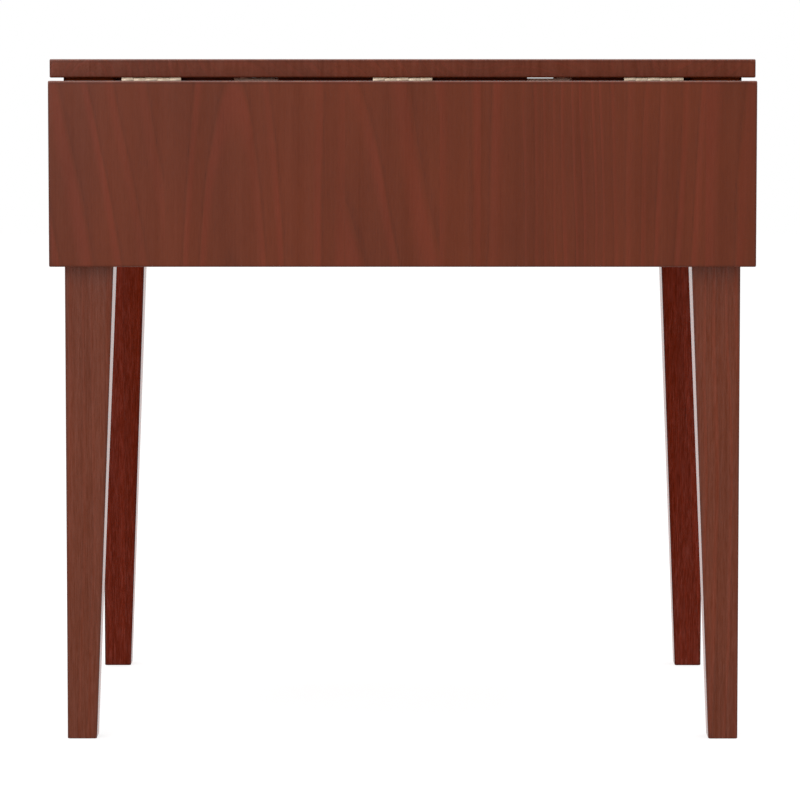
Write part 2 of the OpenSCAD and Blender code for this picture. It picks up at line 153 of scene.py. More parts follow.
@dataclass(frozen=True)
class Wood:
    """Solid wood, sawn into boards: growth rings round a pith, fibres, pores and stain.

    The rings are drawn in space round each board's own pith, so that a face shows arches or
    straight lines and an end shows arcs, as sawn wood does.

    Attributes:
        name: Name of the material.
        grain: Direction of the fibres.
        early: Colour of the wide, open part of a ring.
        late: Colour of the dense line that ends a ring, which takes less stain.
        pore: Colour in the open pores, where stain gathers.
        worn: Colour of the wood where the finish has rubbed thin on an edge.
        ring: Mean width of a growth ring, in mm, where the mesh doesn't give it.
        streak: Width of a fibre streak, in mm. Real fibres are ten times finer and wouldn't show.
        pore_width: Width of a pore, in mm, about four times the real one so that it shows.
        depth: How far the fibres part from the mean colour, as a share of it.
        pooling: Weight that the lacquer gains or loses with the fibres, against that share of colour,
            because it lies thicker on hard fibres than on soft ones.
        open_share: Share of the pores that the lacquer leaves open on a face.
        roughness: Mean roughness of the finish.
        specular: Specular level, which is low under a thin or matted finish.
        coat: Weight of the clear lacquer over the stain.
        bead: Weight of the lacquer along an upper edge, where it gathers.
        coat_roughness: Roughness of the lacquer's own face.
        glow: Weight of the red sheen of raised fibres at a low angle, where lacquer is thin.
        relief: Share of the bare wood's relief that still shows through the finish.
        boards: Whether the mesh gives each board's pith, rings and tone as attributes.
    """

    name: str
    grain: Grain
    early: str
    late: str
    pore: str
    worn: str
    ring: float = 6.0
    streak: float = 1.6
    pore_width: float = 0.9
    depth: float = 0.032
    pooling: float = 0.9
    open_share: float = 0.4
    roughness: float = 0.36
    specular: float = 0.135
    coat: float = 0.14
    bead: float = 1.0
    coat_roughness: float = 0.2
    glow: float = 0.0
    relief: float = 1.0
    boards: bool = True

    def rings(self, graph: Graph, place: Node, flow: Node, pith: NodeSocket, make: NodeSocket) -> Node:
        """Draws the growth rings.

        Args:
            graph: Tree of the material.
            place: Point along, across and through the grain, in mm.
            flow: Slow noise that bends the rings.
            pith: Place of the pith across and through, and its drift through the board.
            make: Width of a ring, shift of the rings, and the pith's drift across the board.

        Returns:
            Node that runs from 0 to 1 through each ring, from the spring wood out to the late line.
        """
        add = graph.add
        heart, kind, point, bend = (add("SeparateXYZ", {0: source}).outputs
                                    for source in (pith, make, place, flow.outputs["Color"]))
        # Distance from the pith across and through, where slow waves of so many mm bend the rings
        apart = {}
        for i, (start, drift, wave) in enumerate(((heart[0], kind[2], 18.0), (heart[1], heart[2], 14.0))):
            middle = add("Math", {0: point[0], 1: drift, 2: start}, operation="MULTIPLY_ADD")
            offset = add("Math", {0: point[i + 1], 1: middle}, operation="SUBTRACT")
            apart[i] = add("Math", {0: bend[i], 1: wave, 2: offset}, operation="MULTIPLY_ADD")
        radius = add("VectorMath", {0: add("CombineXYZ", apart)}, operation="LENGTH")
        years = add("Math", {0: radius, 1: kind[0]}, operation="DIVIDE")
        # Good and poor years: a ring is up to about half as wide again as the mean one
        weather = add("TexNoise", {"W": years, "Scale": 0.6, "Detail": 0.0}, noise_dimensions="1D")
        shift = add("Math", {0: weather, 1: 0.9, 2: kind[1]}, operation="MULTIPLY_ADD")
        count = add("Math", {0: years, 1: shift}, operation="ADD")
        return add("Math", {0: count}, operation="FRACT")

    def build(self) -> Material:
        """Makes the material.

        Returns:
            The new material.
        """
        material = bpy.data.materials.new(self.name)
        graph = Graph(material)
        add = graph.add
        source = add("TexCoord")
        metres = add("SeparateXYZ", {0: source.outputs["Object"]}).outputs
        turned = add("CombineXYZ", {i: metres[axis] for i, axis in enumerate(self.grain.value)})
        place = add("VectorMath", {0: turned, 1: (1 / MM,) * 3}, operation="MULTIPLY")
        facing = add("SeparateXYZ", {0: source.outputs["Normal"]}).outputs[self.grain.value[0]]
        facing = add("Math", {0: facing}, operation="ABSOLUTE")
        end = add("MapRange", {"Value": facing, "From Min": 0.55, "From Max": 0.85})
        if self.boards:
            pith, make = (add("Attribute", attribute_name=name).outputs["Vector"]
                          for name in ("pith", "make"))
            tone = add("Attribute", attribute_name="tone").outputs["Fac"]
        else:
            own = add("ObjectInfo").outputs["Random"]
            far = add("Math", {0: own, 1: 160.0}, operation="MULTIPLY")
            pith = add("CombineXYZ", {0: far, 2: 0.03}).outputs[0]
            make = add("CombineXYZ", {0: self.ring, 1: own}).outputs[0]
            tone = add("MapRange", {"Value": own, "To Min": -0.05, "To Max": 0.05}).outputs[0]
        wear = add("Attribute", attribute_name="wear").outputs["Fac"]

        # Noises: length of a wave along, across and through the grain, in mm, then detail and roughness
        noise = {
            "flow": (320, 80, 80, 1.0, 0.5),
            "cloud": (190, 60, 60, 3.0, 0.5),
            "fibre": (90, self.streak, self.streak, 4.0, 0.6),
            "fleck": (15, self.streak, self.streak, 2.0, 0.6),
            "bars": (4000, 13, 13, 2.0, 0.5),
            "rays": (4000, 5, 60, 3.0, 0.6),
            "rubbed": (14, 6, 6, 4.0, 0.5),
            "pores": (12, self.pore_width, self.pore_width, 1.0, 0.5),
        }
        for name, (*waves, detail, rough) in noise.items():
            stretched = add("VectorMath", {0: place, 1: waves}, operation="DIVIDE")
            noise[name] = add("TexNoise", {"Vector": stretched, "Scale": 1.0, "Detail": detail,
                                           "Roughness": rough})
        season = self.rings(graph, place, noise["flow"], pith, make)
        strength = add("SeparateXYZ", {0: noise["flow"].outputs["Color"]}).outputs[2]
        threads = add("Math", {0: noise["fibre"], 1: noise["fleck"]}, operation="ADD")
        rub = add("Math", {0: wear, 1: noise["rubbed"]}, operation="MULTIPLY")
        ramp = {
            "late": (season, 0.56, 0.84, 0.0, 1.0),
            "late_end": (season, 0.9, 1.0, 1.0, 0.0),
            "spring": (season, 0.0, 0.16, 1.0, 0.0),
            "pores": (noise["pores"], 0.6, 0.72, 0.0, 1.0),
            "bare": (rub, 0.36, 0.66, 0.0, 0.6),
            # Rings show less in an end, and some of them hardly show at all
            "side": (end, 0.0, 1.0, 1.0, 0.6),
            "shown": (strength, 0.38, 0.55, 0.5, 1.0),
            "streaks": (threads, 0.6, 1.4, -2 * self.depth, 2 * self.depth),
            "bars": (noise["bars"], 0.3, 0.7, -0.035, 0.035),
            # The rays and rings of a quarter-sawn board stand upright in its end
            "rays": (noise["rays"], 0.3, 0.7, -0.1, 0.1),
            "cloud": (noise["cloud"], 0.3, 0.7, 0.92, 1.08),
            # Stain gathers in a thin dark line where the sander has broken an edge
            "line": (wear, 0.3, 0.5, 0.0, 1.0),
            "line_end": (wear, 0.6, 0.75, 1.0, 0.0),
            "open": (end, 0.0, 1.0, self.open_share, 1.0),
            # Lacquer gathers in a bead along an upper edge, where wiping polishes it, and catches the light
            "bead": (wear, 0.66, 0.86, self.coat, self.bead),
        }
        rounded = ("late", "late_end", "spring", "pores", "bare")
        for name, row in ramp.items():
            ramp[name] = add("MapRange", dict(zip(RAMP, row)),
                             interpolation_type="SMOOTHSTEP" if name in rounded else "LINEAR")
        for name, other in (("late", "late_end"), ("late", "side"), ("late", "shown"), ("spring", "side"),
                            ("line", "line_end"), ("open", "pores")):
            ramp[name] = add("Math", {0: ramp[name], 1: ramp[other]}, operation="MULTIPLY")

        # Stain: fibres, then what a board, an end, spring wood and a broken edge take more or less of
        fine = add("Math", {0: ramp["bars"], 1: ramp["streaks"]}, operation="ADD")
        swing = add("Math", {0: ramp["rays"], 1: end, 2: fine}, operation="MULTIPLY_ADD")
        taken = add("Math", {0: ramp["cloud"], 1: swing}, operation="ADD")
        for mask, gain in ((tone, 1.0), (end, 0.08), (ramp["spring"], -0.08), (ramp["line"], -0.2)):
            share = add("Math", {0: mask, 1: gain, 2: 1.0}, operation="MULTIPLY_ADD")
            taken = add("Math", {0: taken, 1: share}, operation="MULTIPLY")
        ringed = add("Mix", {"Factor": ramp["late"], "A": linear(self.early), "B": linear(self.late)},
                     data_type="RGBA")
        colour = add("VectorMath", {0: ringed, 3: taken}, operation="SCALE")
        # Pores are widest in spring wood
        wide = add("MapRange", {"Value": ramp["spring"], "To Min": 0.25, "To Max": 0.7})
        filled = add("Math", {0: ramp["open"], 1: wide}, operation="MULTIPLY")
        for share, tint in ((filled, self.pore), (ramp["bare"], self.worn)):
            colour = add("Mix", {"Factor": share, "A": colour, "B": linear(tint)}, data_type="RGBA")

        # Roughness, and relief in mm: the late wood stands proud, the pores are open under the finish
        gloss, relief = self.roughness - 0.13, 0.0
        for mask, gain in ((noise["fibre"], 0.16), (noise["cloud"], 0.1), (ramp["bare"], 0.15)):
            gloss = add("Math", {0: mask, 1: gain, 2: gloss}, operation="MULTIPLY_ADD")
        for mask, height in ((noise["fibre"], 0.05), (ramp["late"], 0.035), (ramp["pores"], -0.05)):
            relief = add("Math", {0: mask, 1: height, 2: relief}, operation="MULTIPLY_ADD")
        bump = add("Bump", {"Height": relief, "Distance": self.relief * MM, "Strength": 1.0})
        coat = add("Math", {0: swing, 1: self.pooling, 2: ramp["bead"]}, operation="MULTIPLY_ADD",
                   use_clamp=True)
        shader = add("BsdfPrincipled", {
            "Base Color": colour, "Roughness": gloss, "Normal": bump, "Specular IOR Level": self.specular,
            "Coat Weight": coat, "Coat Roughness": self.coat_roughness, "Sheen Weight": self.glow,
            "Sheen Roughness": 0.3, "Sheen Tint": linear("#ff7a50")})
        add("OutputMaterial", {"Surface": shader})
        return material


@dataclass(frozen=True)
class PlatedSteel:
    """Mild steel, rolled or turned, then plated: fine drawn lines and small dull patches.

    Attributes:
        name: Name of the material.
        plate: Colour of the plating.
        dull: Colour where the plating has dulled.
        line: Width of a drawn line, in mm, coarser than the real one so that it shows.
        roughness: Mean roughness of the plating.
    """

    name: str
    plate: str
    dull: str
    line: float = 0.35
    roughness: float = 0.3

    def build(self) -> Material:
        """Makes the material.

        Returns:
            The new material.
        """
        material = bpy.data.materials.new(self.name)
        add = Graph(material).add
        place = add("VectorMath", {0: add("TexCoord").outputs["Object"], 1: (1 / MM,) * 3},
                    operation="MULTIPLY")
        # Drawn lines and dull patches: length of a wave in x, y and z, in mm, and detail
        lines, patches = (
            add("TexNoise", {"Vector": add("VectorMath", {0: place, 1: waves}, operation="DIVIDE"),
                             "Scale": 1.0, "Detail": detail})
            for waves, detail in (((20, self.line, self.line), 3.0), ((5, 5, 5), 5.0)))
        aged = add("MapRange", {"Value": patches, "From Min": 0.35, "From Max": 0.8, "To Max": 0.7},
                   interpolation_type="SMOOTHSTEP")
        colour = add("Mix", {"Factor": aged, "A": linear(self.plate), "B": linear(self.dull)},
                     data_type="RGBA")
        gloss = add("Math", {0: lines, 1: 0.1, 2: self.roughness - 0.05}, operation="MULTIPLY_ADD")
        gloss = add("Math", {0: aged, 1: 0.14, 2: gloss}, operation="MULTIPLY_ADD")
        # The drawn lines are up to 0.02 mm deep
        relief = add("Math", {0: lines, 1: 0.02}, operation="MULTIPLY")
        bump = add("Bump", {"Height": relief, "Distance": MM, "Strength": 1.0})
        shader = add("BsdfPrincipled", {"Base Color": colour, "Roughness": gloss, "Normal": bump,
                                        "Metallic": 1.0})
        add("OutputMaterial", {"Surface": shader})
        return material


# Meshes


def put(name: str, data: ID) -> Object:
    """Adds an object to the scene.

    Args:
        name: Name of the object.
        data: Its mesh, lamp or camera.

    Returns:
        The new object.
    """
    thing = bpy.data.objects.new(name, data)
    bpy.context.scene.collection.objects.link(thing)
    return thing


def cut_across(body: BMesh, axis: int, places: Iterable[float]) -> None:
    """Adds edges where planes square to an axis cross a mesh.

    Args:
        body: The mesh, in metres.
        axis: 0, 1 or 2 for x, y or z.
        places: Where the planes stand, in mm.
    """
    normal = Vector([1.0 if i == axis else 0.0 for i in range(3)])
    for place in places:
        bmesh.ops.bisect_plane(body, geom=body.verts[:] + body.edges[:] + body.faces[:],
                               plane_co=normal * place * MM, plane_no=normal)


@dataclass(frozen=True)
class Board:
    """One sawn board of a glued panel, or a piece cut from one board.

    Attributes:
        width: Width across the grain, in mm.
        pith: Distance from the board's middle to its pith, across the grain, in mm.
        depth: Distance from the board's middle to its pith, through the board, in mm.
        slope: Drift of the pith through the board along the grain, which draws arches.
        ring: Mean width of its growth rings, in mm.
        lean: Drift of the pith across the board along the grain, which slants the lines.
        shift: Shift of the rings, from 0 to 1 ring.
        tone: Lightness against the other boards, 0 for none.
    """

    width: float
    pith: float
    depth: float
    slope: float
    ring: float
    lean: float = 0.0
    shift: float = 0.0
    tone: float = 0.0


def sawn_boards(total: float, mean: float, seed: int) -> list[Board]:
    """Picks boards at random that fill a panel.

    Args:
        total: Width to fill, in mm.
        mean: Mean width of a board, in mm.
        seed: Seed of the choice, so that each run gives the same boards.

    Returns:
        The boards in order across the panel.
    """
    pick = random.Random(seed)
    widths = [mean * pick.uniform(0.7, 1.3) for _ in range(round(total / mean))]
    scale = total / sum(widths)
    return [Board(width * scale, pick.uniform(-70, 70), pick.choice((-1, 1)) * pick.uniform(15, 60),
                  pick.uniform(-0.12, 0.12), pick.uniform(9, 26), pick.uniform(-0.06, 0.06), pick.random(),
                  pick.uniform(-0.06, 0.06)) for width in widths]


@dataclass
class Shape:
    """Points, in metres, and faces of a turned piece."""

    points: list[Vector] = field(default_factory=list)
    faces: list[tuple[int, ...]] = field(default_factory=list)

    @classmethod
    def turned(cls, profile: list[tuple[float, float]], segments: int,
               cut: Callable[[float, float, float], tuple[float, float]] | None = None) -> "Shape":
        """Turns a profile about the z axis.

        Args:
            profile: Radius and height of each ring, in mm, from one end to the other.
            segments: Points of a ring.
            cut: Function of radius, height and angle that gives the new radius and height, for
                what isn't round, such as a recess, a thread or a nut's flats.

        Returns:
            The closed shape.
        """
        shape = cls()
        for radius, height in profile:
            for i in range(segments):
                angle = math.tau * i / segments
                r, z = cut(radius, height, angle) if cut else (radius, height)
                shape.points.append(Vector((r * math.cos(angle), r * math.sin(angle), z)) * MM)
        for ring in range(len(profile) - 1):
            for i in range(segments):
                j = (i + 1) % segments
                a, b = ring * segments, (ring + 1) * segments
                shape.faces.append((a + i, a + j, b + j, b + i))
        last = (len(profile) - 1) * segments
        shape.faces.append(tuple(reversed(range(segments))))
        shape.faces.append(tuple(range(last, last + segments)))
        return shape

    def piece(self, name: str, material: Material, places: list[Matrix]) -> Object:
        """Makes copies of the shape one object of the scene.

        Args:
            name: Name of the object.
            material: Its finish.
            places: Where each copy goes.

        Returns:
            The new object, smooth but for its corners.
        """
        mesh = bpy.data.meshes.new(name)
        starts = range(0, len(self.points) * len(places), len(self.points))
        mesh.from_pydata([place @ point for place in places for point in self.points], [],
                         [[start + i for i in face] for start in starts for face in self.faces])
        mesh.materials.append(material)
        body = bmesh.new()
        body.from_mesh(mesh)
        bmesh.ops.recalc_face_normals(body, faces=body.faces)
        for face in body.faces:
            face.smooth = True
        for edge in body.edges:
            edge.smooth = len(edge.link_faces) < 2 or edge.calc_face_angle() < CORNER
        body.to_mesh(mesh)
        body.free()
        return put(name, mesh)


def standing(point: Sequence[float], direction: Sequence[float]) -> Matrix:
    """Place of a shape whose z axis is to point along a direction.

    Args:
        point: Where its origin goes, in mm.
        direction: Where its z axis points.

    Returns:
        The matrix, in metres.
    """
    turn = Vector(direction).to_track_quat("Z", "Y").to_matrix().to_4x4()
    return Matrix.Translation(Vector(point) * MM) @ turn


def board_mesh(name: str, body: BMesh, materials: Iterable[Material], boards: list[Board], grain: Grain,
               wear: Callable[[Vector], float]) -> Object:
    """Makes an object of a mesh, with what the wood finish reads: pith and tone of each board, and wear.

    Args:
        name: Name of the object.
        body: The mesh, in metres.
        materials: Its finishes.
        boards: Boards in order across the grain, which together span the mesh.
        grain: Direction of the fibres.
        wear: Function of a point, in mm, from 0 on an open face to 1 on a rubbed edge.

    Returns:
        The new object.
    """
    along, across, through = grain.value
    low = [min(v.co[i] for v in body.verts) / MM for i in range(3)]
    high = [max(v.co[i] for v in body.verts) / MM for i in range(3)]
    middle = [(a + b) / 2 for a, b in zip(low, high)]
    edges = [low[across]]
    for board in boards:
        edges.append(edges[-1] + board.width)
    cut_across(body, across, edges[1:-1])
    pith = body.faces.layers.float_vector.new("pith")
    make = body.faces.layers.float_vector.new("make")
    tone = body.faces.layers.float.new("tone")
    rub = body.verts.layers.float.new("wear")
    for face in body.faces:
        place = face.calc_center_median()[across] / MM
        index = min(sum(place > edge for edge in edges[1:]), len(boards) - 1)
        board = boards[index]
        centre = (edges[index] + edges[index + 1]) / 2
        face[pith] = (centre + board.pith - board.lean * middle[along],
                      middle[through] + board.depth - board.slope * middle[along], board.slope)
        face[make] = (board.ring, board.shift, board.lean)
        face[tone] = board.tone
        face.smooth = True
    for vert in body.verts:
        vert[rub] = wear(vert.co / MM)
    bmesh.ops.recalc_face_normals(body, faces=body.faces)
    mesh = bpy.data.meshes.new(name)
    for material in materials:
        mesh.materials.append(material)
    body.to_mesh(mesh)
    body.free()
    piece = put(name, mesh)
    weighted = piece.modifiers.new("even shading", "WEIGHTED_NORMAL")
    weighted.weight = 100
    return piece


def seat(piece: Object, node: str, body: str = "table_frame") -> Object:
    """Puts a finished piece in the place of its CAD node.

    Args:
        piece: The piece.
        node: CAD node that it stands for.
        body: CAD body that it moves with.

    Returns:
        The same piece.
    """
    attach(piece, body)
    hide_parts(node)
    return piece


def dress(node: str, material: Material) -> Object:
    """Gives a CAD node its finish.

    Args:
        node: Name of the node.
        material: The finish.

    Returns:
        The node's object.
    """
    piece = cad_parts[node]
    piece.data.materials.clear()
    piece.data.materials.append(material)
    return piece


def panel(name: str, low: Sequence[float], high: Sequence[float], ease: float, boards: list[Board],
          grain: Grain, material: Material) -> Object:
    """Makes a panel of glued boards with eased and slightly worn edges.

    Args:
        name: Name of the piece.
        low: Its lowest corner, in mm.
        high: Its highest corner, in mm.
        ease: Radius of its edges, in mm.
        boards: Its boards.
        grain: Direction of their fibres.
        material: Its finish.

    Returns:
        The new object.
    """
    band, low, high = 6.0, Vector(low), Vector(high)
    body = bmesh.new()
    bmesh.ops.create_cube(body, size=1.0)
    for vert in body.verts:
        vert.co = Vector([(low[i] + high[i]) / 2 + vert.co[i] * (high[i] - low[i]) for i in range(3)]) * MM
    bmesh.ops.bevel(body, geom=body.edges[:], offset=ease * MM, segments=4, profile=0.5, affect="EDGES")
    for axis in range(3):
        cut_across(body, axis, (low[axis] + band, high[axis] - band))

    def wear(point: Vector) -> float:
        """Wear at a point: 1 on an upper edge, 0.6 on the others, 0 away from every edge."""
        gaps = sorted(min(point[i] - low[i], high[i] - point[i]) for i in range(3))
        return max(0.0, 1 - gaps[1] / band) * (1.0 if high.z - point.z < band else 0.6)

    return board_mesh(name, body, (material,), boards, grain, wear)


# Sub-assemblies


@dataclass
class Top:
    """Fixed top: boards glued edge to edge, their grain from front to back."""

    width: float = 762.0
    depth: float = 610.0
    thickness: float = 20.0
    height: float = 741.5
    ease: float = 1.5
    board: float = 92.0
    seed: int = 11

    def build(self, material: Material) -> Iterator[Object]:
        """Builds the panel.

        Args:
            material: Finish of its boards.

        Yields:
            The panel.
        """
        x, y = self.width / 2, self.depth / 2
        boards = sawn_boards(self.width, self.board, self.seed)
        top = panel("top_boards", (-x, -y, self.height - self.thickness), (x, y, self.height), self.ease,
                    boards, Grain.DEPTH, material)
        yield seat(top, "top_panel")


@dataclass
class Leaf:
    """Leaf that hangs from the top, its grain upright."""

    side: Side
    boards: list[Board]
    width: float = 762.0
    length: float = 200.0
    thickness: float = 20.0
    top: float = 718.2
    inner: float = 308.3
    ease: float = 1.5

    def build(self, material: Material) -> Iterator[Object]:
        """Builds the leaf.

        Args:
            material: Finish of its boards.

        Yields:
            The leaf.
        """
        name, x = self.side.name.lower(), self.width / 2
        near, far = sorted((self.side.value * self.inner, self.side.value * (self.inner + self.thickness)))
        leaf = panel(f"{name}_leaf_boards", (-x, near, self.top - self.length), (x, far, self.top),
                     self.ease, self.boards, Grain.HEIGHT, material)
        yield seat(leaf, f"{name}_leaf", f"leaf_{name}")


@dataclass
class Leg:
    """Square leg, tapered on its two inner faces from the apron down.

    The outer faces lie so far from the table's middle in x and y, and inside numbers the points of
    the outline whose faces are the inner ones.
    """

    end: End
    side: Side
    board: Board
    outer: tuple[float, float] = (366.6, 297.0)
    head: float = 57.0
    foot: float = 32.0
    taper_from: float = 621.5
    top: float = 721.5
    ease: float = 1.5
    band: float = 5.0
    inside: range = range(10, 19)

    def width(self, height: float) -> float:
        """Side of the square at a height, in mm."""
        return self.foot + (self.head - self.foot) * min(height / self.taper_from, 1.0)

    def section(self, height: float, inset: float) -> list[tuple[float, float]]:
        """Outline of the leg at a height, six points to a corner.

        Args:
            height: Height above the floor, in mm.
            inset: Distance by which the outline is drawn in, in mm.

        Returns:
            Distances of each point from the leg's two outer faces, in order round the leg.
        """
        low, high = inset + self.ease, self.width(height) - inset - self.ease
        outline = []
        for turn, (u, v) in enumerate(((low, low), (high, low), (high, high), (low, high))):
            turns = [math.pi * (1 + turn / 2 + step / 6) for step in range(4)]
            arc = [(u + self.ease * math.cos(a), v + self.ease * math.sin(a)) for a in turns]
            first, last = ((x + away * math.sin(a), y - away * math.cos(a)) for (x, y), a, away in
                           ((arc[0], turns[0], self.band), (arc[-1], turns[-1], -self.band)))
            outline += [first, *arc, last]
        return outline

    def wear(self, point: Vector) -> float:
        """Tells how worn the leg is.

        Args:
            point: Point of its face, in mm.

        Returns:
            0.6 on an edge or at the floor, 0 on an open face.
        """
        half = self.width(point.z) / 2
        gap = half - min(abs(abs(point[i]) - self.outer[i] + half) for i in range(2))
        return 0.6 * max(0.0, 1 - gap / (self.band + self.ease), 1 - point.z / 3)

    def build(self, outer: Material, inner: Material) -> Iterator[Object]:
        """Builds the leg.

        Args:
            outer: Finish of its two outer faces, fully lacquered.
            inner: Finish of its two inner faces: thin lacquer where the spray hardly reached, and a deeper,
                redder colour that is painted shade.

        Yields:
            The leg.
        """
        name = f"leg_{self.side.name}_{self.end.name}".lower()
        x, y = self.end.value, self.side.value
        # Heights and insets of the outlines: the foot is broken by 1.2 mm against splinters
        levels = [(0.0, 1.2), (0.4, 0.4)]
        levels += [(z, 0.0) for z in (1.2, 6.0, 16.0, 60.0, 160.0, 300.0, 460.0, self.taper_from, self.top)]
        body = bmesh.new()
        rings = [[body.verts.new(Vector((x * (self.outer[0] - u), y * (self.outer[1] - v), height)) * MM)
                  for u, v in self.section(height, inset)] for height, inset in levels]
        for low, high in zip(rings, rings[1:]):
            for i, vert in enumerate(low):
                j = (i + 1) % len(low)
                face = body.faces.new((vert, low[j], high[j], high[i]))
                face.material_index = int(i in self.inside)
        body.faces.new(rings[0])
        body.faces.new(rings[-1])
        leg = board_mesh(name + "_blank", body, (outer, inner), [self.board], Grain.HEIGHT, self.wear)
        yield seat(leg, name)


@dataclass
class Aprons:
    """Four aprons between the legs, their grain along them."""

    def build(self, ends: Material, sides: Material) -> Iterator[Object]:
        """Dresses the aprons.

        Args:
            ends: Finish of the front and back aprons, stained darker than the side ones as painted shade.
            sides: Finish of the left and right aprons.

        Yields:
            Each apron.
        """
        for place, finish in (*((side, ends) for side in Side), *((end, sides) for end in End)):
            yield dress(f"apron_{place.name.lower()}", finish)


@dataclass(frozen=True)
class Screw:
    """Wood screw with a cross recess in its head.

    Attributes:
        head: Radius of the head, in mm.
        shank: Radius of the shank, in mm.
        length: Length under the head's seat, in mm.
        sunk: Height of the countersunk cone, or 0 for a pan head, in mm.
        rise: Height of a pan head, in mm.
        slot: Width of the recess's arms, in mm.
    """

    head: float
    shank: float
    length: float
    sunk: float = 0.0
    rise: float = 0.0
    slot: float = 0.9

    def recess(self, radius: float, height: float, angle: float) -> tuple[float, float]:
        """Sinks the cross into the head's face.

        Args:
            radius: Radius of a point, in mm.
            height: Its height, in mm.
            angle: Its angle.

        Returns:
            Its radius and its new height.
        """
        reach = self.head * 0.62
        if radius > reach * 1.1 or height > 0.01:
            return radius, height
        # The arms' walls slope over 0.24 mm, their tips over 0.3 mm, and the floor rises from the middle
        off = min(abs(radius * math.cos(angle)), abs(radius * math.sin(angle)))
        arm = min(max((self.slot / 2 + 0.12 - off) / 0.24, 0.0), 1.0)
        tip = min(max((reach - radius) / 0.3, 0.0), 1.0)
        return radius, height + arm * tip * (1.5 - 0.8 * radius / reach)

    def shape(self) -> Shape:
        """Turns the screw, its tip up and its head's face down, as it sits in the wood.

        Returns:
            The screw.
        """
        crown = [self.head * i / 16 for i in range(15)]
        if self.sunk:
            face = [(max(r, 0.02), 0.0) for r in crown]
            rim = [(self.head - 0.12, 0.0), (self.head, 0.12), (self.shank, self.sunk)]
        else:
            face = [(max(r, 0.02), -self.rise + 0.35 * self.rise * (r / self.head) ** 2) for r in crown]
            rim = [(self.head * 0.93, -self.rise * 0.6), (self.head, -self.rise * 0.3), (self.head, 0.0),
                   (self.shank, 0.0)]
        shank = [(self.shank, self.length * 0.8), (self.shank * 0.5, self.length)]
        return Shape.turned(face + rim + shank, 48, self.recess)


@dataclass
class Hinge:
    """Butt hinges along the joints between the top and the leaves.

    The flaps are rolled from sheet, the pins are drawn wire with domed ends.
    """

    pitch: float = 271.0
    length: float = 64.0
    pin_y: float = 305.5
    pin_z: float = 718.7
    pin_radius: float = 1.25
    flap_seat: float = 1.3
    flap_ease: float = 0.2
    top_row: float = 9.15
    spread: float = 22.0
    leaf_near: float = 13.0
    leaf_far: float = 24.0
    screw: Screw = Screw(3.25, 1.75, 16.0, sunk=1.5)

    def flaps(self, material: Material) -> Iterator[Object]:
        """Dresses the flaps and takes the sharpness off their sheet edges.

        Args:
            material: Finish of the flaps.

        Yields:
            Each flap.
        """
        for side in Side:
            for place in ("left", "middle", "right"):
                for half in ("top", "leaf"):
                    flap = dress(f"{half}_flap_{side.name.lower()}_{place}", material)
                    weld = flap.modifiers.new("one skin", "WELD")
                    weld.merge_threshold = 1e-6
                    edge = flap.modifiers.new("broken edges", "BEVEL")
                    edge.width, edge.segments = self.flap_ease * MM, 2
                    edge.limit_method, edge.angle_limit = "ANGLE", math.radians(50)
                    yield flap

    def pins(self, material: Material) -> Object:
        """Makes the pins, with domed ends.

        Args:
            material: Finish of the pins.

        Returns:
            All the pins as one piece.
        """
        half, r = self.length / 2, self.pin_radius
        dome = [(r * math.sin(math.radians(a)), half - 0.6 * (1 - math.cos(math.radians(a))))
                for a in (4, 25, 50, 70, 90)]
        pin = Shape.turned([(x, -z) for x, z in dome] + dome[::-1], 24)
        places = [standing((x, side.value * self.pin_y, self.pin_z), (1, 0, 0))
                  for side in Side for x in (-self.pitch, 0, self.pitch)]
        return seat(pin.piece("hinge_pin_wires", material, places), "hinge_pins")

    def screws(self, material: Material) -> Iterator[Object]:
        """Makes the countersunk screws of the flaps.

        Args:
            material: Finish of the screws.

        Yields:
            The top's screws, then each leaf's.
        """
        shape = self.screw.shape()
        row = [(-self.spread, self.top_row), (0.0, self.top_row), (self.spread, self.top_row)]
        triangle = [(-self.spread, self.leaf_near), (0.0, self.leaf_far), (self.spread, self.leaf_near)]
        hinges = (-self.pitch, 0.0, self.pitch)
        places = [standing((x + dx, side.value * (self.pin_y - dy), self.pin_z + self.flap_seat), (0, 0, 1))
                  for side in Side for x in hinges for dx, dy in row]
        yield seat(shape.piece("top_flap_cross_screws", material, places), "top_flap_screws")
        for side in Side:
            name, y = side.name.lower(), side.value
            places = [standing((x + dx, y * (self.pin_y + self.flap_seat), self.pin_z - dy), (0, y, 0))
                      for x in hinges for dx, dy in triangle]
            yield seat(shape.piece(f"{name}_leaf_cross_screws", material, places), f"{name}_leaf_screws",
                       f"leaf_{name}")

    def build(self, plate: Material) -> Iterator[Object]:
        """Builds all the hinges.

        Args:
            plate: Finish of their metal.

        Yields:
            Each piece.
        """
        yield from self.flaps(plate)
        yield self.pins(plate)
        yield from self.screws(plate)


